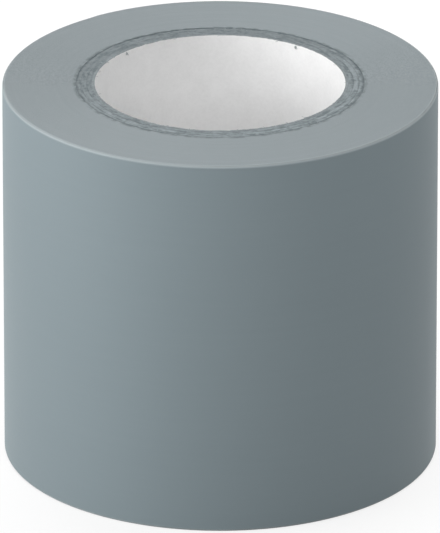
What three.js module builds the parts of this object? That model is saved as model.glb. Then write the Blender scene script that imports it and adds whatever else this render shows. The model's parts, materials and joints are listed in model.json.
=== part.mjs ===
// A roll of PVC sealing tape on a spirally wound paper core, standing on one flat end.
// Millimetres, +Z up along the roll's axis, with the origin on that axis at the bottom face.
import * as THREE from "three";
import { mergeVertices } from "three/addons/utils/BufferGeometryUtils.js";

// Driving dimensions
const tapeWidth = 50; // tape and core are slit in one pass, so the core is as long as the tape is wide
const tapeLength = 10000; // of the whole strip, unrolled
const tapeThickness = 0.135; // film and adhesive coat together
const tailLength = 32; // free end of the strip that peels off the roll
const coreBore = 31.75; // inside diameter of the lined core
const linerThickness = 0.3; // white paper
const boardThickness = 0.68; // one ply of grey board
const windingAngle = 50; // degrees between a core ply's seam and the roll's axis
const linerSeamAzimuth = 117; // degrees from +X to the foot of the lining's seam
const seamStagger = 105; // degrees from one ply's seam to the next one's
const cutEndAzimuth = 125; // degrees from +X to the cut end of the tape

// Clearances
const glueLine = 0.03; // between two bonded layers
const seamGap = 0.45; // square across the butt seam of a core ply
const peelGap = 0.3; // between the outer turn and the tail
const cutEndGap = 0.6; // from the tail's cut end to the outer turn's start

// Round shapes are polygons whose corners all lie at the same angles, so that nested pieces have
// parallel facets and keep their clearances all the way round.
const facetsPerTurn = 96;
const leastFacetShare = 0.05; // a corner nearer than this to a strip's own break is left out

// Sizes that follow
const boardPlyNames = ["core_ply_inner", "core_ply_middle", "core_ply_outer"];
const boardPitch = boardThickness + glueLine;
const boardStart = coreBore / 2 + linerThickness + glueLine;
const woundStart = boardStart + boardPlyNames.length * boardPitch;
const rollRadius = Math.sqrt(woundStart ** 2 + (tapeLength * tapeThickness) / Math.PI);
const rollTurn = 2 * Math.PI * rollRadius; // length of tape in the outer turn
const cutEndTurn = 1 - cutEndGap / rollTurn;
const peelTurn = cutEndTurn - tailLength / rollTurn;

const radians = THREE.MathUtils.degToRad;

// A point of a round or spiral turn. Between two corners it lies on the flat facet that joins them.
function onFacet(turn, radiusAt) {
  const place = turn * facetsPerTurn;
  const before = Math.floor(place);
  const [start, end] = [before, before + 1].map((corner) => {
    const cornerTurn = corner / facetsPerTurn;
    const angle = cornerTurn * 2 * Math.PI;
    return new THREE.Vector2(Math.cos(angle), Math.sin(angle)).multiplyScalar(radiusAt(cornerTurn));
  });
  return start.lerp(end, place - before);
}

// The given breaks along a strip, in turns, and every facet corner between the first and the last.
function stationsBetween(...breaks) {
  const stations = [...breaks];
  const lastCorner = Math.floor(breaks.at(-1) * facetsPerTurn);
  for (let corner = Math.ceil(breaks[0] * facetsPerTurn); corner <= lastCorner; corner += 1) {
    const clear = breaks.every((turn) => Math.abs(turn * facetsPerTurn - corner) > leastFacetShare);
    if (clear) stations.push(corner / facetsPerTurn);
  }
  return stations.sort((a, b) => a - b);
}

// The four corners of a strip's section at one station, between two radii and two heights.
function sectionAt(turn, innerRadiusAt, outerRadiusAt, low, high) {
  const inner = onFacet(turn, innerRadiusAt);
  const outer = onFacet(turn, outerRadiusAt);
  return {
    turn,
    innerLow: new THREE.Vector3(inner.x, inner.y, low),
    innerHigh: new THREE.Vector3(inner.x, inner.y, high),
    outerLow: new THREE.Vector3(outer.x, outer.y, low),
    outerHigh: new THREE.Vector3(outer.x, outer.y, high),
  };
}

// One closed body through a strip's sections, in the order in which the strip is wound.
// Where a section has no height the strip runs out to a point, and the flattened triangles are dropped.
function woundStrip(sections) {
  const first = sections[0];
  const last = sections.at(-1);
  const quads = [
    [first.innerLow, first.outerLow, first.outerHigh, first.innerHigh],
    [last.outerLow, last.innerLow, last.innerHigh, last.outerHigh],
  ];
  for (let i = 1; i < sections.length; i += 1) {
    const a = sections[i - 1];
    const b = sections[i];
    quads.push([a.outerLow, b.outerLow, b.outerHigh, a.outerHigh]);
    quads.push([b.innerLow, a.innerLow, a.innerHigh, b.innerHigh]);
    quads.push([a.outerHigh, b.outerHigh, b.innerHigh, a.innerHigh]);
    quads.push([a.innerLow, b.innerLow, b.outerLow, a.outerLow]);
  }
  const flat = 1e-6;
  const corners = [];
  for (const [a, b, c, d] of quads) {
    for (const triangle of [[a, b, c], [a, c, d]]) {
      if (new THREE.Triangle(...triangle).getArea() > flat) corners.push(...triangle);
    }
  }
  return mergeVertices(new THREE.BufferGeometry().setFromPoints(corners));
}

// A core ply is a flat strip wound once round the core in a helix, so its two long edges meet at a slanting
// butt seam. The core's square ends cut the strip to a point at each end of the seam.
function corePly(innerRadius, thickness) {
  const meanTurn = 2 * Math.PI * (innerRadius + thickness / 2);
  const slant = radians(windingAngle);
  const seamFacets = Math.round(((tapeWidth * Math.tan(slant)) / meanTurn) * facetsPerTurn);
  const seamTurns = Math.max(seamFacets, 1) / facetsPerTurn;
  const trailingEdge = 1 - seamGap / Math.cos(slant) / meanTurn;
  const edgeHeight = (turn) => THREE.MathUtils.clamp((tapeWidth * turn) / seamTurns, 0, tapeWidth);
  const stations = stationsBetween(0, trailingEdge, seamTurns + trailingEdge);
  return woundStrip(
    stations.map((turn) =>
      sectionAt(
        turn,
        () => innerRadius,
        () => innerRadius + thickness,
        edgeHeight(turn - trailingEdge),
        edgeHeight(turn),
      ),
    ),
  );
}

// The tape's last turn is a strip that climbs by its own thickness in one turn.
const outsideOfTape = (turn) => rollRadius - tapeThickness + tapeThickness * turn;
const undersideOfTape = (turn) => outsideOfTape(turn) - tapeThickness;

function tapeSections(fromTurn, toTurn) {
  return stationsBetween(fromTurn, toTurn).map((turn) =>
    sectionAt(turn, undersideOfTape, outsideOfTape, 0, tapeWidth),
  );
}

// The turns below the outer one: a ring on the core, whose outside climbs by one thickness and ends in a
// step where the outer turn starts.
function woundTurns() {
  const climbing = [];
  const bore = [];
  for (let corner = 0; corner <= facetsPerTurn; corner += 1) {
    const turn = corner / facetsPerTurn;
    climbing.push(onFacet(turn, (at) => undersideOfTape(at) - glueLine));
    if (corner < facetsPerTurn) bore.push(onFacet(turn, () => woundStart));
  }
  const ring = new THREE.Shape(climbing);
  ring.holes.push(new THREE.Path(bore));
  return new THREE.ExtrudeGeometry(ring, { depth: tapeWidth, bevelEnabled: false });
}

// The least distance between points of the strip that lie over half a turn apart along it.
function leastGapToItself(sections) {
  const pointsOf = ({ innerLow, outerLow }) => [innerLow, outerLow];
  let least = Infinity;
  for (const a of sections) {
    for (const b of sections.filter(({ turn }) => turn - a.turn > 0.5)) {
      for (const p of pointsOf(a)) {
        for (const q of pointsOf(b)) least = Math.min(least, p.distanceTo(q));
      }
    }
  }
  return least;
}

function finish(color, roughness) {
  return new THREE.MeshStandardMaterial({ color, roughness, metalness: 0 });
}

function piece(name, geometry, material) {
  const mesh = new THREE.Mesh(geometry, material);
  mesh.name = name;
  return mesh;
}

// The core: a white lining and three plies of grey board, with their seams staggered round it.
// A seam turns by whole facets, which keeps the facets of all the plies parallel.
function core() {
  const group = new THREE.Group();
  const facetAngle = (2 * Math.PI) / facetsPerTurn;
  const turnedTo = (degrees) => Math.round(radians(degrees - cutEndAzimuth) / facetAngle) * facetAngle;
  const lining = piece("core_liner", corePly(coreBore / 2, linerThickness), finish(0xe6e6e4, 0.85));
  lining.rotation.z = turnedTo(linerSeamAzimuth);
  group.add(lining);
  boardPlyNames.forEach((name, index) => {
    const geometry = corePly(boardStart + index * boardPitch, boardThickness);
    const ply = piece(name, geometry, finish(0x858f92, 0.95));
    ply.rotation.z = turnedTo(linerSeamAzimuth + (index + 1) * seamStagger);
    group.add(ply);
  });
  return group;
}

// The tape: the wound turns, the outer turn over them and the tail that peels from it.
function tape() {
  const group = new THREE.Group();
  const film = 0x8f999d;
  const filmRoughness = 0.45;
  const outerTurn = tapeSections(glueLine / rollTurn, peelTurn - peelGap / rollTurn);
  const tail = tapeSections(peelTurn, cutEndTurn);
  group.add(piece("wound_turns", woundTurns(), finish(film, filmRoughness)));
  group.add(piece("outer_turn", woundStrip(outerTurn), finish(film, filmRoughness)));
  group.add(piece("tape_tail", woundStrip(tail), finish(film, filmRoughness)));
  const gap = leastGapToItself([...outerTurn, ...tail]);
  console.log(`least gap of the outer turn to itself: ${gap.toFixed(2)} mm`);
  return group;
}

const roll = new THREE.Group();
roll.add(core(), tape());
roll.rotation.z = radians(cutEndAzimuth);

export default roll;
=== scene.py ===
# %% [markdown]
# A roll of PVC sealing tape on a paper core
#
# The imported model already has every piece of the roll at its real size. This lesson dresses those pieces:
# the tape as one long strip in some seventy turns, the core as four paper strips with rough sawn ends,
# and the free end of the tape as a strip that goes on from the roll.

# %% Load the imported model as a fixed frame
import json
import math

import bpy
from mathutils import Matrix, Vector, noise


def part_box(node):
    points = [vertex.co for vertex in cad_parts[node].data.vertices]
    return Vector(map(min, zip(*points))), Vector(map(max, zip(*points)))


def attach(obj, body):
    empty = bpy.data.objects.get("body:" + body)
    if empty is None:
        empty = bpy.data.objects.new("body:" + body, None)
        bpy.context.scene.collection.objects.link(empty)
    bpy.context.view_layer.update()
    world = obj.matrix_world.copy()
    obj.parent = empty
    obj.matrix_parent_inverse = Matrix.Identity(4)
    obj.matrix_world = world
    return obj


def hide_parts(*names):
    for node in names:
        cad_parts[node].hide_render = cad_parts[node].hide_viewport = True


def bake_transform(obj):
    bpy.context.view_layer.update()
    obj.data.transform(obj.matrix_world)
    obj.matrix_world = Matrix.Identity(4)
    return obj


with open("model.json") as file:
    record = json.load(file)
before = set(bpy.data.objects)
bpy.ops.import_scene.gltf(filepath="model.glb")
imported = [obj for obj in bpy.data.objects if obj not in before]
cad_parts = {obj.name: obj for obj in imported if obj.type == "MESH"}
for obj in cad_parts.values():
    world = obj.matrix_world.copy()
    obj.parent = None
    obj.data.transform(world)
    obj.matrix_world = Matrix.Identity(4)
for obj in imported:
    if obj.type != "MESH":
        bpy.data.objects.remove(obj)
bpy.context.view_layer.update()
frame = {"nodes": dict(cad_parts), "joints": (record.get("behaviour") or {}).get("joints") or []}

MM = 0.001

# %% [markdown]
# The sizes come from the frame, so a changed pack gives a changed scene. A node's corners lie at their true
# distance from the roll's axis, which gives each layer's inside and outside. Only the film's thickness and
# the slant of the paper strips are written out, because no single corner shows them.

# %% Measure the roll
FILM_THICKNESS = 0.135 * MM
STRIP_SLANT = math.radians(50)


def radii(node):
    """Least and greatest distance of a CAD node's corners from the roll's axis."""
    distances = [math.hypot(corner.co.x, corner.co.y) for corner in frame["nodes"][node].data.vertices]
    return min(distances), max(distances)


def azimuth(point):
    """Angle of a point round the roll's axis, from +X."""
    return math.atan2(point[1], point[0])


roll_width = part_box("wound_turns")[1].z
wound_inside, wound_outside = radii("wound_turns")
roll_radius = radii("outer_turn")[0] + 2 * FILM_THICKNESS
bore_radius = radii("core_liner")[0]
peel_line = Vector(frame["joints"][0]["pos_m"])
cut_end_azimuth = max(azimuth(corner.co) for corner in frame["nodes"]["tape_tail"].data.vertices)
step_corner = max(frame["nodes"]["wound_turns"].data.vertices, key=lambda corner: corner.co.xy.length)
step_azimuth = azimuth(step_corner.co)
print("roll, mm: radius", round(roll_radius / MM, 2), "width", round(roll_width / MM, 2))
print("bore radius, mm:", round(bore_radius / MM, 2), "tape starts at", round(wound_inside / MM, 2))

# %% [markdown]
# The photograph looks down at the roll from about 23 degrees, and its sides hardly converge, so it was taken
# from far off with a long lens. The camera stands in front, at the distance that makes the ellipses of the
# two ends as different as they are in the picture.

# %% Camera
VIEW_ELEVATION = math.radians(23.16)
VIEW_DISTANCE = 1.69
VIEW_LENS = 897
FARTHEST_SEEN = 100
AIM_BELOW_MIDDLE = 0.4 * MM

aim = Vector((0, 0, roll_width / 2 - AIM_BELOW_MIDDLE))
towards_camera = Vector((0, -math.cos(VIEW_ELEVATION), math.sin(VIEW_ELEVATION)))
camera = bpy.data.objects.new("camera", bpy.data.cameras.new("camera"))
bpy.context.scene.collection.objects.link(camera)
camera.data.lens = VIEW_LENS
camera.data.clip_end = FARTHEST_SEEN
camera.location = aim + VIEW_DISTANCE * towards_camera
camera.rotation_euler = towards_camera.to_track_quat("Z", "Y").to_euler()
bpy.context.scene.camera = camera
print("camera at", [round(value, 3) for value in camera.location])

# %% [markdown]
# Shader and geometry trees are built from the same few moves: add a node, set its plain values, and link what
# comes from another node. One helper does all three, so each tree below reads as a recipe.

# %% Node helpers
SQUARE_TO_AXIS = (1.0, 1.0, 0.0)


def feed(tree, socket, value):
    """Links an output to a socket, or sets the socket to a plain value."""
    if isinstance(value, bpy.types.NodeSocket):
        tree.links.new(value, socket)
    else:
        socket.default_value = value


def add_node(tree, kind, inputs=None, **settings):
    """Adds a node with these settings. Each input is a plain value, or an output to link."""
    node = tree.nodes.new(kind)
    for name, value in settings.items():
        setattr(node, name, value)
    for key, value in (inputs or {}).items():
        feed(tree, node.inputs[key], value)
    return node


def math_node(tree, operation, first, second=0.0):
    """The output of a Math node."""
    return add_node(tree, "ShaderNodeMath", {0: first, 1: second}, operation=operation).outputs[0]


def weighted(tree, first, second, share):
    """Two values added, the first with this share and the second with the rest."""
    kept = math_node(tree, "MULTIPLY", first, share)
    return math_node(tree, "ADD", kept, math_node(tree, "MULTIPLY", second, 1 - share))


def vector_math(tree, operation, first, second=(0.0, 0.0, 0.0)):
    """The outputs of a Vector Math node, by name."""
    return add_node(tree, "ShaderNodeVectorMath", {0: first, 1: second}, operation=operation).outputs


def from_axis(tree, place):
    """The part of a place that is square to the roll's axis."""
    return vector_math(tree, "MULTIPLY", place, SQUARE_TO_AXIS)["Vector"]


def spread(tree, factor, low, high, to_low, to_high):
    """Maps low..high to to_low..to_high, and stops at both ends."""
    values = {"Value": factor, "From Min": low, "From Max": high, "To Min": to_low, "To Max": to_high}
    return add_node(tree, "ShaderNodeMapRange", values).outputs["Result"]


# %% [markdown]
# A finish is a colour, a roughness and a bump, and on a real surface all three vary a little. Noise gives
# that variation. It is read at Object coordinates, in cells per millimetre, so each pattern has its real
# size.

# %% Finish helpers
NOISE_LOW, NOISE_MIDDLE, NOISE_HIGH = 0.3, 0.5, 0.7
CLUMP_LOW, CLUMP_HIGH = 0.38, 0.62
PATCH_LOW, PATCH_HIGH = 0.4, 0.6
MAIN_SHARE = 0.6
EVEN_SHARE = 0.5


def colour_of(red, green, blue):
    """A colour written as 0 to 255 values of a screen, as linear light for a shader."""
    linear = []
    for value in (red, green, blue):
        share = value / 255
        linear.append(share / 12.92 if share <= 0.04045 else ((share + 0.055) / 1.055) ** 2.4)
    return (*linear, 1.0)


def ramp(tree, factor, *stops):
    """The colour of a ramp with stops of (place, colour)."""
    node = add_node(tree, "ShaderNodeValToRGB", {"Fac": factor})
    elements = node.color_ramp.elements
    while len(elements) < len(stops):
        elements.new(0.5)
    for element, (place, colour) in zip(elements, stops):
        element.position = place
        element.color = colour
    return node.outputs["Color"]


def mixed(tree, factor, first, second):
    """Two colours mixed by a factor."""
    node = add_node(tree, "ShaderNodeMix", data_type="RGBA")
    sockets = {socket.identifier: socket for socket in node.inputs}
    for identifier, value in (("Factor_Float", factor), ("A_Color", first), ("B_Color", second)):
        feed(tree, sockets[identifier], value)
    return next(socket for socket in node.outputs if socket.identifier == "Result_Color")


def stretched_noise(tree, place, cells_per_mm, detail=2.0, roughness=0.5):
    """Noise whose cells have their own size along x, y and z."""
    scale = [cells / MM for cells in cells_per_mm]
    mapped = add_node(tree, "ShaderNodeMapping", {"Vector": place, "Scale": scale}).outputs["Vector"]
    values = {"Vector": mapped, "Scale": 1.0, "Detail": detail, "Roughness": roughness}
    return add_node(tree, "ShaderNodeTexNoise", values).outputs["Fac"]


def bump(tree, height, strength, distance):
    """A bump whose height runs from 0 to 1 over the given distance."""
    values = {"Height": height, "Strength": strength, "Distance": distance}
    return add_node(tree, "ShaderNodeBump", values).outputs["Normal"]


def start_finish(name):
    """A new material. Returns it with its tree, its shader and the Object coordinates."""
    material = bpy.data.materials.new(name)
    material.use_nodes = True
    tree = material.node_tree
    shader = tree.nodes["Principled BSDF"]
    place = add_node(tree, "ShaderNodeTexCoord").outputs["Object"]
    return material, tree, shader, place


def set_finish(tree, shader, colour, roughness, normal=None):
    """Gives a shader its colour, its roughness and, if there is one, its bump."""
    feed(tree, shader.inputs["Base Color"], colour)
    feed(tree, shader.inputs["Roughness"], roughness)
    if normal is not None:
        feed(tree, shader.inputs["Normal"], normal)


# %% [markdown]
# The outside of the tape is calendered PVC film: an even blue-grey with a satin gloss. Calendering leaves
# faint streaks along the strip, which run round the roll, and a fine grain. Noise stretched in x and y but
# tight in z gives the streaks, and a second noise with cells of a fraction of a millimetre gives the grain,
# as bump and as gloss. Handling has worn the roll's two rims a little smoother, and they are painted paler:
# partly as wear, and partly as a painted highlight that adds to the thin line of light along the rims.

# %% PVC film
FILM_COLOUR = colour_of(124, 137, 142)
FILM_PALE = colour_of(125, 138, 143)
FILM_DEEP = colour_of(123, 136, 141)
FILM_STREAKS = (0.04, 0.04, 1.4)
FILM_CLOUDS = (0.05, 0.05, 0.05)
FILM_GRAIN = (5.0, 5.0, 5.0)
FILM_GLOSSIEST, FILM_DULLEST = 0.54, 0.62
GRAIN_STRENGTH = 0.12
GRAIN_HEIGHT = 0.02 * MM
EDGE_WEAR_AND_HIGHLIGHT = colour_of(176, 184, 186)
RIM_RADIUS = 0.45 * MM
RIM_ROUGHNESS = 0.56
RIM_WEAR_AND_HIGHLIGHT = 0.45


def worn_highlit_rim(tree, distance, end):
    """0 inside the rim that ends at this distance, and 1 on its outer half."""
    return spread(tree, distance, end - RIM_RADIUS, end - RIM_RADIUS / 2, 0.0, 1.0)


def film_finish():
    material, tree, shader, place = start_finish("pvc_film")
    streaks = stretched_noise(tree, place, FILM_STREAKS, detail=3.0)
    clouds = stretched_noise(tree, place, FILM_CLOUDS)
    grain = stretched_noise(tree, place, FILM_GRAIN, detail=3.0, roughness=0.6)
    tone = weighted(tree, streaks, clouds, MAIN_SHARE)
    stops = ((NOISE_LOW, FILM_DEEP), (NOISE_MIDDLE, FILM_COLOUR), (NOISE_HIGH, FILM_PALE))
    height = add_node(tree, "ShaderNodeSeparateXYZ", {"Vector": place}).outputs["Z"]
    from_middle = math_node(tree, "ABSOLUTE", math_node(tree, "SUBTRACT", height, roll_width / 2))
    rim = worn_highlit_rim(tree, from_middle, roll_width / 2)
    # Painted highlight: the rims are mixed toward a pale colour, partly wear and partly painted light along
    # the rim.
    worn_and_highlit = math_node(tree, "MULTIPLY", rim, RIM_WEAR_AND_HIGHLIGHT)
    colour = mixed(tree, worn_and_highlit, ramp(tree, tone, *stops), EDGE_WEAR_AND_HIGHLIGHT)
    gloss = weighted(tree, grain, streaks, MAIN_SHARE)
    satin = spread(tree, gloss, NOISE_LOW, NOISE_HIGH, FILM_GLOSSIEST, FILM_DULLEST)
    roughness = spread(tree, rim, 0.0, 1.0, satin, RIM_ROUGHNESS)
    set_finish(tree, shader, colour, roughness, bump(tree, grain, GRAIN_STRENGTH, GRAIN_HEIGHT))
    return material


film = film_finish()
print("finish:", film.name)

# %% [markdown]
# The two flat ends of the roll are the film's slit edges, seen edge on. A knife leaves them paler, duller and
# more neutral than the film's face, with a slight change of tone from one group of turns to the next. That
# tone depends only on the distance from the axis, so the noise is read at that distance. A few specks lie on
# the ends, and dust from the sawn board has smeared over the first turns beside the core.

# %% Slit edges of the tape
SLIT_COLOUR = colour_of(129, 137, 140)
SLIT_PALE = colour_of(131, 139, 142)
SLIT_DEEP = colour_of(127, 135, 138)
SLIT_BANDS_PER_TURN = 0.22
SLIT_KNIFE = (0.5, 0.5, 0.5)
SLIT_GLOSSIEST, SLIT_DULLEST = 0.78, 0.88
KNIFE_STRENGTH = 0.04
KNIFE_HEIGHT = 0.02 * MM
SPECK_COLOUR = colour_of(88, 94, 97)
SPECK_SPACING = 15 * MM
SPECK_SIZE = 0.2 * MM
SPECK_STRENGTH = 0.5
DUST_COLOUR = colour_of(88, 97, 100)
DUST_SMEARS = (0.8, 0.8, 0.8)
DUST_REACH = 0.45 * MM
DUST_STRENGTH = 0.9


def specks(tree, place):
    """SPECK_STRENGTH at scattered points, falling to 0 at a speck's size from them."""
    cells = {"Vector": place, "Scale": 1 / SPECK_SPACING, "Randomness": 1.0}
    distance = add_node(tree, "ShaderNodeTexVoronoi", cells).outputs["Distance"]
    reach = SPECK_SIZE / SPECK_SPACING
    return spread(tree, distance, reach / 2, reach, SPECK_STRENGTH, 0.0)


def dust(tree, place, radius):
    """Smears beside the core, up to DUST_STRENGTH."""
    smears = stretched_noise(tree, place, DUST_SMEARS)
    near_core = spread(tree, radius, wound_inside, wound_inside + DUST_REACH, 1.0, 0.0)
    strength = spread(tree, smears, PATCH_LOW, PATCH_HIGH, 0.0, DUST_STRENGTH)
    return math_node(tree, "MULTIPLY", near_core, strength)


def slit_finish():
    material, tree, shader, place = start_finish("pvc_slit_edges")
    radius = vector_math(tree, "LENGTH", from_axis(tree, place))["Value"]
    turn = math_node(tree, "DIVIDE", radius, FILM_THICKNESS)
    banding = {"W": turn, "Scale": SLIT_BANDS_PER_TURN, "Detail": 4.0, "Roughness": 0.7}
    bands = add_node(tree, "ShaderNodeTexNoise", banding, noise_dimensions="1D").outputs["Fac"]
    knife = stretched_noise(tree, place, SLIT_KNIFE, detail=4.0, roughness=0.65)
    tone = weighted(tree, bands, knife, MAIN_SHARE)
    stops = ((NOISE_LOW, SLIT_DEEP), (NOISE_MIDDLE, SLIT_COLOUR), (NOISE_HIGH, SLIT_PALE))
    rim = worn_highlit_rim(tree, radius, roll_radius)
    # Painted highlight: the outer rim of the ends is mixed toward the same pale colour, partly wear and
    # partly painted light.
    worn_and_highlit = mixed(tree, math_node(tree, "MULTIPLY", rim, RIM_WEAR_AND_HIGHLIGHT), ramp(tree, tone, *stops), EDGE_WEAR_AND_HIGHLIGHT)
    specked = mixed(tree, specks(tree, place), worn_and_highlit, SPECK_COLOUR)
    dusty = mixed(tree, dust(tree, place, radius), specked, DUST_COLOUR)
    dull = spread(tree, knife, NOISE_LOW, NOISE_HIGH, SLIT_GLOSSIEST, SLIT_DULLEST)
    roughness = spread(tree, rim, 0.0, 1.0, dull, RIM_ROUGHNESS)
    set_finish(tree, shader, dusty, roughness, bump(tree, knife, KNIFE_STRENGTH, KNIFE_HEIGHT))
    return material


slit = slit_finish()
print("finish:", slit.name)

# %% [markdown]
# The back of the tape carries the adhesive, a thin rubbery coat. It is a little darker and glossier than the
# film and never quite level, which shows when the free end is peeled.

# %% Adhesive coat
ADHESIVE_PALE = colour_of(118, 130, 134)
ADHESIVE_DEEP = colour_of(108, 120, 124)
ADHESIVE_RIPPLE = (0.6, 0.6, 0.15)
ADHESIVE_GRAIN = (3.0, 3.0, 3.0)
ADHESIVE_GLOSSIEST, ADHESIVE_DULLEST = 0.2, 0.34
RIPPLE_STRENGTH = 0.3
RIPPLE_HEIGHT = 0.05 * MM


def adhesive_finish():
    material, tree, shader, place = start_finish("adhesive_coat")
    ripple = stretched_noise(tree, place, ADHESIVE_RIPPLE, detail=3.0)
    grain = stretched_noise(tree, place, ADHESIVE_GRAIN)
    colour = ramp(tree, ripple, (NOISE_LOW, ADHESIVE_DEEP), (NOISE_HIGH, ADHESIVE_PALE))
    roughness = spread(tree, grain, NOISE_LOW, NOISE_HIGH, ADHESIVE_GLOSSIEST, ADHESIVE_DULLEST)
    set_finish(tree, shader, colour, roughness, bump(tree, ripple, RIPPLE_STRENGTH, RIPPLE_HEIGHT))
    return material


adhesive = adhesive_finish()
print("finish:", adhesive.name)

# %% [markdown]
# The core's plies are grey board. Cut across, board shows matted fibres: light and dark streaks that are
# drawn out along the ply, with smaller clumps among them, and a darker line where one ply ends and the next
# begins. For the streaks the noise is read at a place on the core's outside plus a stretched depth. The mesh
# stores each ply's own tone and how near each point is to its ply's faces as an attribute, so that the lines
# and the painted shade in the crevice beside the tape follow the strip exactly. The sawn ends are also
# darker towards the far left side.

# %% Grey board
BOARD_DARK = colour_of(103, 112, 115)
BOARD_MIDDLE = colour_of(131, 140, 143)
BOARD_LIGHT = colour_of(147, 155, 158)
BOARD_JOINT_AND_SHADE = colour_of(72, 80, 83)
BOARD_ROUGHNESS = 0.95
BOARD_LAYERS = (0.6, 0.6, 0.6)
BOARD_CLUMPS = (1.9, 1.9, 1.9)
BOARD_STRENGTH = 0.7
BOARD_HEIGHT = 0.1 * MM
LAYER_STRETCH = 4
CREVICE_SHADE_LEAST = 0.75
DARKER_SIDE_DIRECTION = (-0.4, 0.9, 0.0)
DARKENING_START = -12 * MM
DARKENING_END = 8 * MM
SIDE_DARKENING = 0.5


def layered_noise(tree, place):
    """Noise drawn out round the core and tight through its wall."""
    flat = from_axis(tree, place)
    outward = vector_math(tree, "NORMALIZE", flat)["Vector"]
    on_core = vector_math(tree, "MULTIPLY", outward, (wound_inside, wound_inside, wound_inside))["Vector"]
    depth = math_node(tree, "MULTIPLY", vector_math(tree, "LENGTH", flat)["Value"], LAYER_STRETCH)
    through = add_node(tree, "ShaderNodeCombineXYZ", {"Z": depth}).outputs["Vector"]
    layered = vector_math(tree, "ADD", on_core, through)["Vector"]
    return stretched_noise(tree, layered, BOARD_LAYERS, detail=3.0)


def board_finish():
    material, tree, shader, place = start_finish("core_board")
    clumps = stretched_noise(tree, place, BOARD_CLUMPS, detail=3.0, roughness=0.6)
    tone = weighted(tree, layered_noise(tree, place), clumps, MAIN_SHARE)
    stops = ((CLUMP_LOW, BOARD_DARK), (NOISE_MIDDLE, BOARD_MIDDLE), (CLUMP_HIGH, BOARD_LIGHT))
    # Painted shade: the mesh's mark darkens the board by each ply's tone, along its joints and in the crevice
    # beside the tape.
    tone_and_crevice_shade = add_node(tree, "ShaderNodeAttribute", attribute_name="tone_and_crevice_shade").outputs["Fac"]
    kept = spread(tree, tone, PATCH_LOW, PATCH_HIGH, 1.0, CREVICE_SHADE_LEAST)
    broken_crevice_shade = math_node(tree, "MULTIPLY", tone_and_crevice_shade, kept)
    # The sawn ends grow darker towards the far left side, up to half way to the dark colour.
    across = vector_math(tree, "DOT_PRODUCT", place, DARKER_SIDE_DIRECTION)["Value"]
    shade = math_node(tree, "MAXIMUM", broken_crevice_shade, spread(tree, across, DARKENING_START, DARKENING_END, 0.0, SIDE_DARKENING))
    colour = mixed(tree, shade, ramp(tree, tone, *stops), BOARD_JOINT_AND_SHADE)
    set_finish(tree, shader, colour, BOARD_ROUGHNESS, bump(tree, tone, BOARD_STRENGTH, BOARD_HEIGHT))
    return material


board = board_finish()
print("finish:", board.name)

# %% [markdown]
# The bore is lined with white paper. Paper is nearly even, so its detail is slight: a soft cloudiness, fine
# fibres in the surface, and a faint bump. Only its sawn end is grey, from the dust of the board beside it.
# The mesh marks the points of that end with the attribute sawn.

# %% White lining paper
PAPER_WHITE = colour_of(237, 237, 237)
PAPER_SHADE = colour_of(231, 231, 231)
PAPER_CUT_DARK = colour_of(96, 104, 107)
PAPER_CUT_LIGHT = colour_of(131, 138, 140)
PAPER_CLOUDS = (0.35, 0.35, 0.35)
PAPER_FIBRES = (2.5, 2.5, 2.5)
PAPER_SHADE_END, PAPER_WHITE_START = 0.36, 0.6
PAPER_GLOSSIEST, PAPER_DULLEST = 0.8, 0.92
PAPER_STRENGTH = 0.25
PAPER_HEIGHT = 0.04 * MM


def paper_finish():
    material, tree, shader, place = start_finish("liner_paper")
    clouds = stretched_noise(tree, place, PAPER_CLOUDS, detail=4.0, roughness=0.65)
    fibres = stretched_noise(tree, place, PAPER_FIBRES, detail=4.0, roughness=0.6)
    tone = weighted(tree, clouds, fibres, EVEN_SHARE)
    white = ramp(tree, tone, (PAPER_SHADE_END, PAPER_SHADE), (PAPER_WHITE_START, PAPER_WHITE))
    dusty = ramp(tree, tone, (CLUMP_LOW, PAPER_CUT_DARK), (CLUMP_HIGH, PAPER_CUT_LIGHT))
    sawn = add_node(tree, "ShaderNodeAttribute", attribute_name="sawn").outputs["Fac"]
    colour = mixed(tree, sawn, white, dusty)
    roughness = spread(tree, fibres, NOISE_LOW, NOISE_HIGH, PAPER_GLOSSIEST, PAPER_DULLEST)
    set_finish(tree, shader, colour, roughness, bump(tree, fibres, PAPER_STRENGTH, PAPER_HEIGHT))
    return material


paper = paper_finish()
print("finish:", paper.name)

# %% [markdown]
# All of the tape is one rule: a flat strip that follows a spiral and climbs by its own thickness in each
# turn. It could be a Screw modifier on an edge, but Geometry Nodes say the rule outright. A Spiral curve is
# the path, a rectangle with eased corners is the film's section, and Curve to Mesh sweeps one along the
# other. Each turn may sit a hair higher or lower than the last, as wound tape does.

# %% Path and section of the winding
DRIFTS_PER_TURN = 0.8


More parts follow.
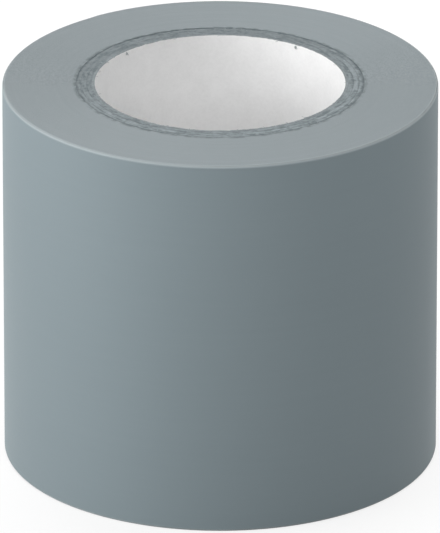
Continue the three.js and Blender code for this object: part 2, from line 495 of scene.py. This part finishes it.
def drifting_path(tree, size):
    """The spiral path of the film's middle, drifting a little up and down as it turns."""
    turning = {
        "Resolution": size["Points Per Turn"],
        "Rotations": size["Turns"],
        "Start Radius": size["Start Radius"],
        "End Radius": size["End Radius"],
        "Height": 0.0,
        "Reverse": True,
    }
    spiral = add_node(tree, "GeometryNodeCurveSpiral", turning).outputs["Curve"]
    along = add_node(tree, "GeometryNodeSplineParameter").outputs["Factor"]
    turn = math_node(tree, "ADD", math_node(tree, "MULTIPLY", along, size["Turns"]), size["Seed"])
    wandering = {"W": turn, "Scale": DRIFTS_PER_TURN, "Detail": 2.0}
    wander = add_node(tree, "ShaderNodeTexNoise", wandering, noise_dimensions="1D").outputs["Fac"]
    from_even = math_node(tree, "SUBTRACT", wander, NOISE_MIDDLE)
    drift = math_node(tree, "MULTIPLY", from_even, size["Sideways Drift"])
    height = math_node(tree, "ADD", drift, size["Middle Height"])
    lift = add_node(tree, "ShaderNodeCombineXYZ", {"Z": height}).outputs["Vector"]
    lifted = add_node(tree, "GeometryNodeSetPosition", {"Geometry": spiral, "Offset": lift}).outputs[0]
    turned = add_node(tree, "ShaderNodeCombineXYZ", {"Z": size["Start Angle"]}).outputs["Vector"]
    placed = add_node(tree, "GeometryNodeTransform", {"Geometry": lifted, "Rotation": turned}).outputs[0]
    return add_node(tree, "GeometryNodeSetCurveNormal", {"Curve": placed}, mode="Z_UP").outputs["Curve"]


def film_section(tree, size):
    """The film's section: a tall thin rectangle with eased corners."""
    sides = {"Width": size["Thickness"], "Height": size["Width"]}
    rectangle = add_node(tree, "GeometryNodeCurvePrimitiveQuadrilateral", sides).outputs["Curve"]
    corners = {"Curve": rectangle, "Radius": size["Corner Radius"], "Count": size["Corner Steps"]}
    return add_node(tree, "GeometryNodeFilletCurve", corners, mode="POLY").outputs["Curve"]


print("winding: a spiral path and a section of film")

# %% [markdown]
# Handling has rounded the roll's two rims a little, which is where a thin line of light runs. A point near
# the outside is held below a quarter circle. The outside itself climbs by one film in each turn, so its
# distance is first worked out from the angle that is left to the step.

# %% Rounded rims


def eased_rims(tree, size, mesh):
    """Rounds the roll's two rims: near the outside, points stop at a quarter circle below the flat end."""
    place = add_node(tree, "GeometryNodeInputPosition").outputs["Position"]
    x, y, z = add_node(tree, "ShaderNodeSeparateXYZ", {"Vector": place}).outputs
    radius = vector_math(tree, "LENGTH", from_axis(tree, place))["Value"]
    from_step = math_node(tree, "SUBTRACT", math_node(tree, "ARCTAN2", y, x), size["Step Angle"])
    turn_left = math_node(tree, "FRACT", math_node(tree, "DIVIDE", from_step, -math.tau))
    unclimbed = math_node(tree, "MULTIPLY", turn_left, size["Turn Pitch"])
    outside = math_node(tree, "SUBTRACT", size["Roll Radius"], unclimbed)
    from_outside = math_node(tree, "SUBTRACT", outside, radius)
    reach = spread(tree, from_outside, 0.0, size["Rim Radius"], 1.0, 0.0)
    squared = math_node(tree, "SUBTRACT", 1.0, math_node(tree, "MULTIPLY", reach, reach))
    level = math_node(tree, "SQRT", squared)
    inset = math_node(tree, "MULTIPLY", size["Rim Radius"], math_node(tree, "SUBTRACT", 1.0, level))
    most = math_node(tree, "SUBTRACT", size["Middle Height"], inset)
    from_middle = math_node(tree, "SUBTRACT", z, size["Middle Height"])
    kept = math_node(tree, "MAXIMUM", from_middle, math_node(tree, "MULTIPLY", most, -1.0))
    kept = math_node(tree, "MINIMUM", kept, most)
    height = math_node(tree, "ADD", kept, size["Middle Height"])
    eased = add_node(tree, "ShaderNodeCombineXYZ", {"X": x, "Y": y, "Z": height}).outputs["Vector"]
    return add_node(tree, "GeometryNodeSetPosition", {"Geometry": mesh, "Position": eased}).outputs[0]


print("rims rounded to a radius of", round(RIM_RADIUS / MM, 2), "mm")

# %% [markdown]
# One strip has three finishes: film outside, adhesive inside and the slit edge between them. Each face takes
# its finish from the way it looks, away from the axis, towards it or neither. The same tree, with other
# values of its inputs, makes the inner turns, the outer turn and the tail.

# %% The winding tree
SIDE_FACING = 0.8
WINDING_INPUTS = (
    ("Turns", "NodeSocketFloat"),
    ("Points Per Turn", "NodeSocketInt"),
    ("Start Radius", "NodeSocketFloat"),
    ("End Radius", "NodeSocketFloat"),
    ("Start Angle", "NodeSocketFloat"),
    ("Thickness", "NodeSocketFloat"),
    ("Width", "NodeSocketFloat"),
    ("Middle Height", "NodeSocketFloat"),
    ("Roll Radius", "NodeSocketFloat"),
    ("Step Angle", "NodeSocketFloat"),
    ("Turn Pitch", "NodeSocketFloat"),
    ("Rim Radius", "NodeSocketFloat"),
    ("Corner Radius", "NodeSocketFloat"),
    ("Corner Steps", "NodeSocketInt"),
    ("Sideways Drift", "NodeSocketFloat"),
    ("Seed", "NodeSocketFloat"),
    ("Film", "NodeSocketMaterial"),
    ("Slit Edge", "NodeSocketMaterial"),
    ("Back", "NodeSocketMaterial"),
)


def add_inputs(tree, inputs):
    """Adds the tree's named inputs and its mesh output. Returns each input's identifier by name."""
    identifiers = {}
    for name, kind in inputs:
        identifiers[name] = tree.interface.new_socket(name, in_out="INPUT", socket_type=kind).identifier
    tree.interface.new_socket("Mesh", in_out="OUTPUT", socket_type="NodeSocketGeometry")
    return identifiers


def side_test(tree, sign):
    """Selects the faces that look away from the roll's axis, or with sign -1 towards it."""
    normal = add_node(tree, "GeometryNodeInputNormal").outputs["Normal"]
    place = add_node(tree, "GeometryNodeInputPosition").outputs["Position"]
    outward = vector_math(tree, "NORMALIZE", from_axis(tree, place))["Vector"]
    facing = vector_math(tree, "DOT_PRODUCT", normal, outward)["Value"]
    return math_node(tree, "GREATER_THAN", math_node(tree, "MULTIPLY", facing, sign), SIDE_FACING)


def winding_tree():
    """Builds the tree. Returns it with its inputs' identifiers."""
    tree = bpy.data.node_groups.new("wind_tape", "GeometryNodeTree")
    identifiers = add_inputs(tree, WINDING_INPUTS)
    size = add_node(tree, "NodeGroupInput").outputs
    sweep = {
        "Curve": drifting_path(tree, size),
        "Profile Curve": film_section(tree, size),
        "Fill Caps": True,
    }
    swept = add_node(tree, "GeometryNodeCurveToMesh", sweep).outputs["Mesh"]
    eased = eased_rims(tree, size, swept)
    whole = add_node(tree, "GeometryNodeRealizeInstances", {"Geometry": eased}).outputs["Geometry"]
    faces = (("Slit Edge", True), ("Film", side_test(tree, 1.0)), ("Back", side_test(tree, -1.0)))
    for material, chosen in faces:
        values = {"Geometry": whole, "Material": size[material], "Selection": chosen}
        whole = add_node(tree, "GeometryNodeSetMaterial", values).outputs["Geometry"]
    add_node(tree, "NodeGroupOutput", {"Mesh": whole})
    return tree, identifiers


wind_tape, winding_identifiers = winding_tree()
print("winding tree:", len(wind_tape.nodes), "nodes")

# %% [markdown]
# A tree makes its mesh when the object that carries it is evaluated. The result is then copied to a plain
# mesh and the modifier removed, so that what rides on a body is only vertices and faces. Edges sharper than
# a given angle stay crisp and the rest are shaded smooth.

# %% From a tree to a plain mesh
GROWN_CRISP_ANGLE = math.radians(20)


def smooth(mesh, crisp_angle):
    """Smooth shading that keeps edges crisp where they are sharper than crisp_angle."""
    mesh.polygons.foreach_set("use_smooth", [True] * len(mesh.polygons))
    mesh.set_sharp_from_angle(angle=crisp_angle)


def grown(name, tree, identifiers, values):
    """An object with the plain mesh that a geometry tree makes from these values."""
    piece = bpy.data.objects.new(name, bpy.data.meshes.new(name))
    bpy.context.scene.collection.objects.link(piece)
    modifier = piece.modifiers.new(tree.name, "NODES")
    modifier.node_group = tree
    for key, value in values.items():
        modifier[identifiers[key]] = value
    graph = bpy.context.evaluated_depsgraph_get()
    mesh = bpy.data.meshes.new_from_object(piece.evaluated_get(graph), depsgraph=graph)
    piece.modifiers.remove(modifier)
    piece.data = mesh
    mesh.name = name
    smooth(mesh, GROWN_CRISP_ANGLE)
    print(name, len(mesh.vertices), "vertices,", len(mesh.polygons), "faces")
    return piece


# %% [markdown]
# The turns under the outer one end in the step where the outer turn begins, so they are counted back from
# there. The film is drawn a touch thinner than its pitch, which leaves the hairline between two turns.

# %% Inner turns of the tape
HAIRLINE = 0.012 * MM
TURN_POINTS = 128
CUT_CORNER = 0.01 * MM
TURN_DRIFT = 0.015 * MM
DRIFT_SEED = 3.7


def wound_film(name, turns, end_radius, start_angle, **changes):
    """A stretch of tape whose middle climbs to end_radius and starts at start_angle."""
    values = {
        "Turns": turns,
        "Points Per Turn": TURN_POINTS,
        "Start Radius": end_radius - turns * FILM_THICKNESS,
        "End Radius": end_radius,
        "Start Angle": start_angle,
        "Thickness": FILM_THICKNESS - HAIRLINE,
        "Width": roll_width,
        "Middle Height": roll_width / 2,
        "Roll Radius": roll_radius,
        "Step Angle": step_azimuth,
        "Turn Pitch": FILM_THICKNESS,
        "Rim Radius": RIM_RADIUS,
        "Corner Radius": CUT_CORNER,
        "Corner Steps": 1,
        "Sideways Drift": 0.0,
        "Seed": 0.0,
        "Film": film,
        "Slit Edge": slit,
        "Back": adhesive,
    }
    return grown(name, wind_tape, winding_identifiers, {**values, **changes})


turn_count = (wound_outside - wound_inside) / FILM_THICKNESS
inner_turns = wound_film(
    "inner_turns",
    turn_count,
    wound_outside - FILM_THICKNESS / 2,
    step_azimuth - turn_count * math.tau,
    **{"Width": roll_width - 2 * TURN_DRIFT, "Sideways Drift": TURN_DRIFT, "Seed": DRIFT_SEED},
)
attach(inner_turns, "roll")
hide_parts("wound_turns")
print("turns under the outer one:", round(turn_count, 2))

# %% [markdown]
# The outer turn is the surface that shows most, so it has four times as many points in its turn, and rounder
# corners. It runs from the step to the peel line.

# %% Outer turn of the tape
FINE_FILM = {"Points Per Turn": 4 * TURN_POINTS, "Corner Radius": 0.05 * MM, "Corner Steps": 4}

peel_azimuth = azimuth(peel_line)
peel_turn = ((peel_azimuth - step_azimuth) % math.tau) / math.tau
film_middle = roll_radius - FILM_THICKNESS / 2
outer_turn = wound_film(
    "outer_turn_film",
    peel_turn,
    film_middle - (1 - peel_turn) * FILM_THICKNESS,
    step_azimuth,
    **FINE_FILM,
)
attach(outer_turn, "roll")
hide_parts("outer_turn")

# %% [markdown]
# The tail goes on from the peel line to the cut end with the same section, so no joint shows between them.
# Its mesh stays where it is made, and the CAD tail is hidden.

tail_turns = ((cut_end_azimuth - peel_azimuth) % math.tau) / math.tau
tail = wound_film(
    "tape_tail_film",
    tail_turns,
    film_middle - (1 - peel_turn - tail_turns) * FILM_THICKNESS,
    peel_azimuth,
    **FINE_FILM,
)
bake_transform(tail)
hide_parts("tape_tail")
print("tail, mm:", round(tail_turns * math.tau * film_middle / MM, 1))

# %% [markdown]
# Each ply of the core is a paper strip wound once round in a helix, and the saw that cut the core left its
# ends rough. A sweep can't give that, so the strip is built section by section. A section is a loop of points
# round the strip: along its lower edge, up its inner face, along its upper edge. An edge is either the
# slanting seam or the sawn end, whichever comes first, and sawn points are pushed in by noise, and a little
# more beside the ply's two faces.

# %% One section of a sawn paper strip
SAW_RECESS = 0.055 * MM
SAW_DEPTH = 0.045 * MM
SAW_CLUMP = 0.9 * MM
SAW_ROUGHNESS = 0.8
SAW_FINER = 2.0
SAW_OCTAVES = 4
CREVICE_DEPTH = 0.02 * MM
SAWN_REACH = 0.4 * MM


def sawn_depth(x, y, end, tone_and_crevice_shade):
    """How far the saw's rough cut lies inside the core's end at a point."""
    clumps = noise.fractal(Vector((x, y, end)) / SAW_CLUMP, SAW_ROUGHNESS, SAW_FINER, SAW_OCTAVES)
    return SAW_RECESS + SAW_DEPTH * max(-1.0, min(1.0, clumps)) + CREVICE_DEPTH * tone_and_crevice_shade


def strip_section(angle, radii_and_shades, leading_height, trailing_height, wall_shares):
    """One loop of points round the strip, with each point's tone-and-shade mark and its sawn mark."""
    low_edge, high_edge = [], []
    for radius, tone_and_crevice_shade in radii_and_shades:
        x, y = radius * math.cos(angle), radius * math.sin(angle)
        floor_height = sawn_depth(x, y, 0, tone_and_crevice_shade)
        top_height = roll_width - sawn_depth(x, y, 1, tone_and_crevice_shade)
        low = min(max(floor_height, trailing_height), top_height)
        high = max(min(top_height, leading_height), low)
        low_edge.append(((x, y, low), tone_and_crevice_shade, float(low - floor_height < SAWN_REACH)))
        high_edge.append(((x, y, high), tone_and_crevice_shade, float(top_height - high < SAWN_REACH)))
    foot, head = Vector(low_edge[0][0]), Vector(high_edge[0][0])
    wall = [(tuple(foot.lerp(head, share)), 0.0, 0.0) for share in wall_shares]
    return [*reversed(low_edge), *wall, *high_edge]


print("saw cut, mm: about", round(SAW_RECESS / MM, 3), "inside the core's ends")

# %% [markdown]
# The sections are placed every half degree along the helix and joined by quads. The strip fills its glue
# line, so no dark gap is left beside it, and it stores two marks with each point: the ply's tone with its
# darkening beside the ply's faces, joint lines and painted crevice shade, which the board's finish darkens,
# and whether the point lies at a sawn end.

# %% A helical paper strip
STEPS_PER_TURN = 720
EDGE_STEPS = 6
SEAM_GAP = 0.06 * MM
GLUE_FILL = 0.025 * MM
LINE_WIDTH = 0.2 * MM
LINE_SHADE = 0.5
STRIP_CRISP_ANGLE = math.radians(40)


def beside(distance, width):
    """1 at a face of a ply, falling smoothly to 0 at the given width from it."""
    near = max(0.0, 1 - distance / width)
    return near * near * (3 - 2 * near)


def strip_depths(inside, outside, shade, outer_shade_band):
    """Radii through the ply, each with its mark: the ply's tone, or darker beside the two faces, as joint
    lines and painted shade.
    """
    thickness = outside - inside
    depths = []
    for step in range(EDGE_STEPS + 1):
        way = step / EDGE_STEPS * thickness
        inner = LINE_SHADE * beside(way, LINE_WIDTH)
        # Painted shade, partly: the dark band beside the outside, widest on the outermost ply where it meets
        # the tape.
        outer = beside(thickness - way, outer_shade_band)
        depths.append((inside + way, max(shade, inner, outer)))
    return depths


def helical_strip(name, node, seam_azimuth, shade, outer_shade_band, wall_shares):
    """A paper strip in the place of a CAD ply."""
    inside, outside = radii(node)
    outside += GLUE_FILL
    mean_turn = math.pi * (inside + outside)
    seam_turns = roll_width * math.tan(STRIP_SLANT) / mean_turn
    trailing = 1 - SEAM_GAP / math.cos(STRIP_SLANT) / mean_turn
    depths = strip_depths(inside, outside, shade, outer_shade_band)
    section_count = math.ceil((seam_turns + trailing) * STEPS_PER_TURN)
    points = []
    for section in range(section_count + 1):
        turn = (seam_turns + trailing) * section / section_count
        leading_height = roll_width * turn / seam_turns
        trailing_height = roll_width * (turn - trailing) / seam_turns
        angle = seam_azimuth + turn * math.tau
        points += strip_section(angle, depths, leading_height, trailing_height, wall_shares)
    loop = 2 * len(depths) + len(wall_shares)
    faces = []
    for here in range(0, section_count * loop, loop):
        for place in range(loop):
            following = (place + 1) % loop
            faces.append((here + place, here + following, here + loop + following, here + loop + place))
    mesh = bpy.data.meshes.new(name)
    mesh.from_pydata([place for place, _, _ in points], [], faces)
    for order, mark in enumerate(("tone_and_crevice_shade", "sawn"), start=1):
        values = [point[order] for point in points]
        mesh.attributes.new(mark, "FLOAT", "POINT").data.foreach_set("value", values)
    smooth(mesh, STRIP_CRISP_ANGLE)
    piece = bpy.data.objects.new(name, mesh)
    bpy.context.scene.collection.objects.link(piece)
    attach(piece, "roll")
    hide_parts(node)
    print(name, len(mesh.vertices), "vertices,", len(mesh.polygons), "faces")
    return piece


# %% [markdown]
# The plies' seams are staggered round the core, so that no two lie over each other. Each ply is of its own
# grey and darker beside its faces, where it meets the next, and the outermost has the widest dark band,
# painted shade in the crevice beside the tape. Only the lining's wall shows from above, so it alone has
# points up its inner face.

# %% The core's plies and lining
LINING_SEAM_AZIMUTH = math.radians(117.5)
SEAM_STAGGER = math.radians(105)
WALL_SHARES = (0.001, *(step / 10 for step in range(1, 10)), 0.999)

# Name, CAD node, finish, slot, shade, width of the dark band (painted shade) beside the outside, points up
# the wall
CORE_PLIES = (
    ("lining_paper", "core_liner", paper, "liner_paper", 0.0, 0.1 * MM, WALL_SHARES),
    ("board_ply_inner", "core_ply_inner", board, "core_board", 0.45, 0.2 * MM, ()),
    ("board_ply_middle", "core_ply_middle", board, "core_board", 0.25, 0.2 * MM, ()),
    ("board_ply_outer", "core_ply_outer", board, "core_board", 0.0, 0.8 * MM, ()),
)
for order, (name, node, material, slot, shade, outer_shade_band, wall_shares) in enumerate(CORE_PLIES):
    seam_azimuth = LINING_SEAM_AZIMUTH + order * SEAM_STAGGER
    ply = helical_strip(name, node, seam_azimuth, shade, outer_shade_band, wall_shares)
    ply.data.materials.append(material)

# %% [markdown]
# A saw leaves loose fibres on cut board. They are torn from the board and as dull as it is, some darker and
# some paler.

# %% Finish of the loose fibres
FIBRE_DARK = colour_of(94, 103, 106)
FIBRE_PALE = colour_of(154, 162, 164)
FIBRE_TONES = (1.5, 1.5, 1.5)


def fibre_finish():
    material, tree, shader, place = start_finish("frayed_fibres")
    tone = stretched_noise(tree, place, FIBRE_TONES)
    colour = ramp(tree, tone, (CLUMP_LOW, FIBRE_DARK), (CLUMP_HIGH, FIBRE_PALE))
    set_finish(tree, shader, colour, BOARD_ROUGHNESS)
    return material


fibres = fibre_finish()
print("finish:", fibres.name)

# %% [markdown]
# Geometry Nodes scatter the fibres: random places round the ring, random directions, one thread on each
# place. Each fibre is a short bent thread of three sides, which is enough at its size. Every draw has a
# number of its own beside the seed, so that a fibre's place and its direction don't depend on each other.

# %% The fibre tree
THREAD_BEND = (0.5, 0.3, 0.0)
THREAD_STEPS = 4
THREAD_SIDES = 3
FIBRE_INPUTS = (
    ("Count", "NodeSocketInt"),
    ("Least Azimuth", "NodeSocketFloat"),
    ("Greatest Azimuth", "NodeSocketFloat"),
    ("Least Radius", "NodeSocketFloat"),
    ("Greatest Radius", "NodeSocketFloat"),
    ("Least Height", "NodeSocketFloat"),
    ("Greatest Height", "NodeSocketFloat"),
    ("Least Length", "NodeSocketFloat"),
    ("Greatest Length", "NodeSocketFloat"),
    ("Least Pitch", "NodeSocketFloat"),
    ("Greatest Pitch", "NodeSocketFloat"),
    ("Slenderness", "NodeSocketFloat"),
    ("Seed", "NodeSocketInt"),
    ("Fibre", "NodeSocketMaterial"),
)


def random_between(tree, low, high, seed, draw):
    """A random value for each point. Each draw has a number of its own, so that no two are alike."""
    node = add_node(tree, "FunctionNodeRandomValue", data_type="FLOAT")
    sockets = {socket.identifier: socket for socket in node.inputs}
    drawn = math_node(tree, "ADD", seed, float(draw))
    for identifier, value in (("Min_001", low), ("Max_001", high), ("Seed", drawn)):
        feed(tree, sockets[identifier], value)
    return next(socket for socket in node.outputs if socket.identifier == "Value_001")


def scattered_points(tree, size):
    """Points at random places of a ring or of a stretch of it."""
    azimuth_drawn = random_between(tree, size["Least Azimuth"], size["Greatest Azimuth"], size["Seed"], 0)
    radius = random_between(tree, size["Least Radius"], size["Greatest Radius"], size["Seed"], 1)
    height = random_between(tree, size["Least Height"], size["Greatest Height"], size["Seed"], 2)
    x = math_node(tree, "MULTIPLY", radius, math_node(tree, "COSINE", azimuth_drawn))
    y = math_node(tree, "MULTIPLY", radius, math_node(tree, "SINE", azimuth_drawn))
    place = add_node(tree, "ShaderNodeCombineXYZ", {"X": x, "Y": y, "Z": height}).outputs["Vector"]
    return add_node(tree, "GeometryNodePoints", {"Count": size["Count"], "Position": place}).outputs[0]


def bent_thread(tree, size):
    """A thread of length 1 along x, with a slight bend."""
    bend = {
        "Resolution": THREAD_STEPS,
        "Start": (0.0, 0.0, 0.0),
        "Middle": THREAD_BEND,
        "End": (1.0, 0.0, 0.0),
    }
    path = add_node(tree, "GeometryNodeCurveQuadraticBezier", bend).outputs["Curve"]
    section = {"Resolution": THREAD_SIDES, "Radius": size["Slenderness"]}
    round_section = add_node(tree, "GeometryNodeCurvePrimitiveCircle", section).outputs["Curve"]
    sweep = {"Curve": path, "Profile Curve": round_section, "Fill Caps": True}
    return add_node(tree, "GeometryNodeCurveToMesh", sweep).outputs["Mesh"]


def fibre_tree():
    """Builds the tree. Returns it with its inputs' identifiers."""
    tree = bpy.data.node_groups.new("scatter_fibres", "GeometryNodeTree")
    identifiers = add_inputs(tree, FIBRE_INPUTS)
    size = add_node(tree, "NodeGroupInput").outputs
    pitch = random_between(tree, size["Least Pitch"], size["Greatest Pitch"], size["Seed"], 3)
    heading = random_between(tree, 0.0, math.tau, size["Seed"], 4)
    turned = add_node(tree, "ShaderNodeCombineXYZ", {"Y": pitch, "Z": heading}).outputs["Vector"]
    values = {
        "Points": scattered_points(tree, size),
        "Instance": bent_thread(tree, size),
        "Rotation": add_node(tree, "FunctionNodeEulerToRotation", {"Euler": turned}).outputs["Rotation"],
        "Scale": random_between(tree, size["Least Length"], size["Greatest Length"], size["Seed"], 5),
    }
    threads = add_node(tree, "GeometryNodeInstanceOnPoints", values).outputs["Instances"]
    whole = add_node(tree, "GeometryNodeRealizeInstances", {"Geometry": threads}).outputs["Geometry"]
    finished = add_node(tree, "GeometryNodeSetMaterial", {"Geometry": whole, "Material": size["Fibre"]})
    add_node(tree, "NodeGroupOutput", {"Mesh": finished.outputs["Geometry"]})
    return tree, identifiers


scatter_fibres, fibre_identifiers = fibre_tree()
print("fibre tree:", len(scatter_fibres.nodes), "nodes")

# %% [markdown]
# The fibres lie almost flat on the two sawn ends, just inside the core's length, and some reach over the
# first turn of tape. With other values the same tree makes the two torn nubs of paper that hang over the far
# edge of the lining: a few short, thick threads on one spot.

# %% Loose fibres on both sawn ends, and the two nubs
FIBRE_DEPTHS = (0.06 * MM, 0.1 * MM)
FIBRE_OVERHANG = 0.1 * MM
NUB_AZIMUTHS = {"left": math.radians(139), "right": math.radians(53)}
NUB_HALF_ANGLE = 0.012
NUB_DEPTHS = (0.2 * MM, 0.5 * MM)
NUB_OVERHANG = 0.1 * MM


def scatter(name, **changes):
    """A scatter of fibres that rides on the roll."""
    values = {
        "Count": 420,
        "Least Azimuth": 0.0,
        "Greatest Azimuth": math.tau,
        "Least Radius": bore_radius,
        "Greatest Radius": wound_inside + FIBRE_OVERHANG,
        "Least Length": 0.25 * MM,
        "Greatest Length": 0.7 * MM,
        "Least Pitch": math.radians(-3),
        "Greatest Pitch": math.radians(3),
        "Slenderness": 0.04,
        "Fibre": fibres,
    }
    named = {key.replace("_", " "): value for key, value in changes.items()}
    piece = grown(name, scatter_fibres, fibre_identifiers, {**values, **named})
    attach(piece, "roll")
    return piece


shallow, deep = FIBRE_DEPTHS
scatter("fibres_top", Least_Height=roll_width - deep, Greatest_Height=roll_width - shallow, Seed=11)
scatter("fibres_bottom", Least_Height=shallow, Greatest_Height=deep, Seed=23)
for side, nub_azimuth in NUB_AZIMUTHS.items():
    scatter(
        "torn_nub_" + side,
        Count=6,
        Least_Azimuth=nub_azimuth - NUB_HALF_ANGLE,
        Greatest_Azimuth=nub_azimuth + NUB_HALF_ANGLE,
        Least_Radius=bore_radius - NUB_OVERHANG,
        Greatest_Radius=bore_radius,
        Least_Height=roll_width - NUB_DEPTHS[1],
        Greatest_Height=roll_width - NUB_DEPTHS[0],
        Least_Length=0.2 * MM,
        Greatest_Length=0.35 * MM,
        Least_Pitch=math.radians(40),
        Greatest_Pitch=math.radians(95),
        Slenderness=0.16,
        Seed=31,
    )

# %% [markdown]
# The roll stands on a plain pale floor. To the camera and in reflections the world is white, and the floor
# is mostly its own light, so it stays pale and still keeps the roll's soft shadow. What the floor bounces
# onto the roll is kept low. Otherwise the foot of the roll, which looks at floor in shadow, would be much
# darker than the rest of the side.

# %% Floor and world
FLOOR_SIDE = 3.0
FLOOR_COLOUR = (0.3, 0.3, 0.3, 1.0)
WHITE = (1.0, 1.0, 1.0, 1.0)
FLOOR_GLOW = 1.0
GLOW_SHARE = 0.75
WORLD_LEVEL = 0.04


def seen_directly(tree):
    """1 for rays that show a background: from the camera, in a reflection or through glass."""
    path = add_node(tree, "ShaderNodeLightPath").outputs
    either = math_node(tree, "MAXIMUM", path["Is Camera Ray"], path["Is Glossy Ray"])
    return math_node(tree, "MAXIMUM", either, path["Is Transmission Ray"])


def floor_finish():
    """A floor that glows to the camera and in reflections, and is a plain grey to all other light."""
    material = bpy.data.materials.new("pale_floor")
    material.use_nodes = True
    tree = material.node_tree
    tree.nodes.clear()
    bounced = add_node(tree, "ShaderNodeBsdfDiffuse", {"Color": FLOOR_COLOUR}).outputs["BSDF"]
    lit = add_node(tree, "ShaderNodeBsdfDiffuse", {"Color": WHITE}).outputs["BSDF"]
    glow = add_node(tree, "ShaderNodeEmission", {"Color": WHITE, "Strength": FLOOR_GLOW}).outputs["Emission"]
    pale = add_node(tree, "ShaderNodeMixShader", {0: GLOW_SHARE, 1: lit, 2: glow}).outputs[0]
    shown = add_node(tree, "ShaderNodeMixShader", {0: seen_directly(tree), 1: bounced, 2: pale}).outputs[0]
    add_node(tree, "ShaderNodeOutputMaterial", {"Surface": shown})
    return material


def pale_world():
    """A world that is white to the camera and in reflections, and a faint light to the rest."""
    world = bpy.data.worlds.new("pale_world")
    world.use_nodes = True
    tree = world.node_tree
    tree.nodes.clear()
    light = add_node(tree, "ShaderNodeBackground", {"Color": WHITE, "Strength": WORLD_LEVEL}).outputs[0]
    shown = add_node(tree, "ShaderNodeBackground", {"Color": WHITE, "Strength": 1.0}).outputs[0]
    both = add_node(tree, "ShaderNodeMixShader", {0: seen_directly(tree), 1: light, 2: shown}).outputs[0]
    add_node(tree, "ShaderNodeOutputWorld", {"Surface": both})
    return world


half = FLOOR_SIDE / 2
corners = [(-half, -half, 0), (half, -half, 0), (half, half, 0), (-half, half, 0)]
floor_mesh = bpy.data.meshes.new("floor")
floor_mesh.from_pydata(corners, [], [(0, 1, 2, 3)])
floor_mesh.materials.append(floor_finish())
floor = bpy.data.objects.new("floor", floor_mesh)
bpy.context.scene.collection.objects.link(floor)
bpy.context.scene.world = pale_world()
print("floor, m:", FLOOR_SIDE, "world light:", WORLD_LEVEL)

# %% [markdown]
# Four large soft lamps light the roll. The low one on the left gives the side its shading: lightest at the
# left, deeper past the middle, with the wall of the bore that faces the lamp the brightest. One in front
# lifts the shade, one above and behind lights the top, and the weakest, behind the right side, keeps that
# edge from sinking. A lamp's level is what it gives a white sheet that faces it, so the four can be compared.

# %% Lamps
LAMP_DISTANCE = 1.6
LAMP_WIDTH = 1.5

# Name, angle from the front, elevation, level
LAMPS = (
    ("key_lamp", math.radians(-80), math.radians(10), 1.42),
    ("fill_lamp", math.radians(0), math.radians(38), 0.64),
    ("back_lamp", math.radians(180), math.radians(60), 0.8),
    ("edge_lamp", math.radians(110), math.radians(30), 0.3),
)


def soft_lamp(name, side_angle, elevation, level):
    """A square lamp that looks at the roll and lights a white sheet facing it to the given level."""
    lamp = bpy.data.objects.new(name, bpy.data.lights.new(name, "AREA"))
    level_of_one_watt = 1 / (math.pi * LAMP_DISTANCE) ** 2
    lamp.data.size = LAMP_WIDTH
    lamp.data.energy = level / level_of_one_watt
    flat = math.cos(elevation)
    towards_lamp = Vector((math.sin(side_angle) * flat, -math.cos(side_angle) * flat, math.sin(elevation)))
    lamp.location = aim + LAMP_DISTANCE * towards_lamp
    lamp.rotation_euler = towards_lamp.to_track_quat("Z", "Y").to_euler()
    lamp.visible_camera = False
    bpy.context.scene.collection.objects.link(lamp)
    return lamp


for name, side_angle, elevation, level in LAMPS:
    lamp = soft_lamp(name, side_angle, elevation, level)
    print(name, round(lamp.data.energy, 1), "W")
bpy.context.scene.view_settings.view_transform = "Standard"
